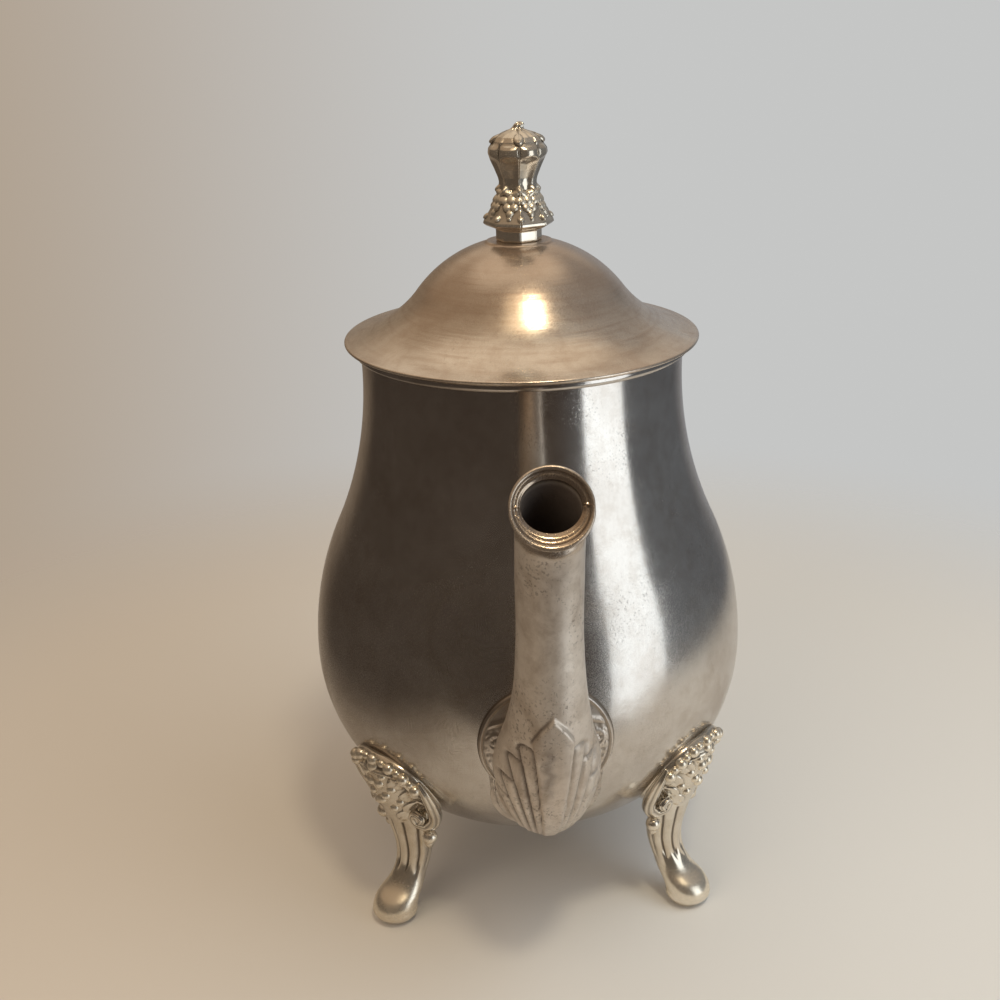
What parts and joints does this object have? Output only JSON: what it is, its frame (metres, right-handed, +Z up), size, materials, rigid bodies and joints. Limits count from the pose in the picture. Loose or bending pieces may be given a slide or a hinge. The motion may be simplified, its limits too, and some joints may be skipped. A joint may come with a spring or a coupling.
{
  "type": "coffee pot",
  "caption": "Pear-shaped metal coffee pot on cast scroll feet, with a hinged domed lid, an upright curved spout and a looped handle behind; for holding and pouring coffee.",
  "frame": {"origin": "on the pot's axis, in the plane of the four soles", "axes": "+Z up along the pot's axis, +X towards the spout, +Y to the left of the spout seen from the handle"},
  "size_m": [0.2042, 0.14, 0.245],
  "materials": {
    "silver_body": "silver plate, satin and tarnished",
    "silver_lid": "silver plate, dulled by handling",
    "silver_spout": "silver plate, scratched and pitted",
    "silver_cast": "bright cast silver plate with dark recesses",
    "silver_handle": "silver plate, worn smooth",
    "hinge_metal": "silver plate, dull",
    "fixing_brass": "plain brass",
    "insulator_black": "black moulded heat break"
  },
  "bodies": {
    "pot": {"pot_bowl": "silver_body", "pot_neck": "silver_body", "base_disc": "silver_body", "mouth_ring": "silver_body", "spout_front_half": "silver_spout", "spout_back_half": "silver_spout", "spout_escutcheon": "silver_cast", "foot_front_left": "silver_cast", "foot_front_right": "silver_cast", "foot_rear_left": "silver_cast", "foot_rear_right": "silver_cast", "handle": "silver_handle", "handle_socket_upper": "silver_handle", "handle_socket_lower": "silver_handle", "hinge_leaf_pot": "hinge_metal", "hinge_pin": "hinge_metal", "insulator_pins": "fixing_brass", "insulator_upper": "insulator_black", "insulator_lower": "insulator_black"},
    "lid": {"lid_dome": "silver_lid", "lid_bezel": "silver_lid", "finial": "silver_cast", "finial_stud": "fixing_brass", "finial_washer": "fixing_brass", "finial_nut": "fixing_brass", "hinge_leaf_lid": "hinge_metal"}
  },
  "joints": [
    {"name": "lid_hinge", "type": "hinge", "parent": "pot", "child": "lid", "pos_m": [-0.0575, 0, 0.18229], "axis": [0, -1, 0], "range_deg": [0, 105]}
  ]
}
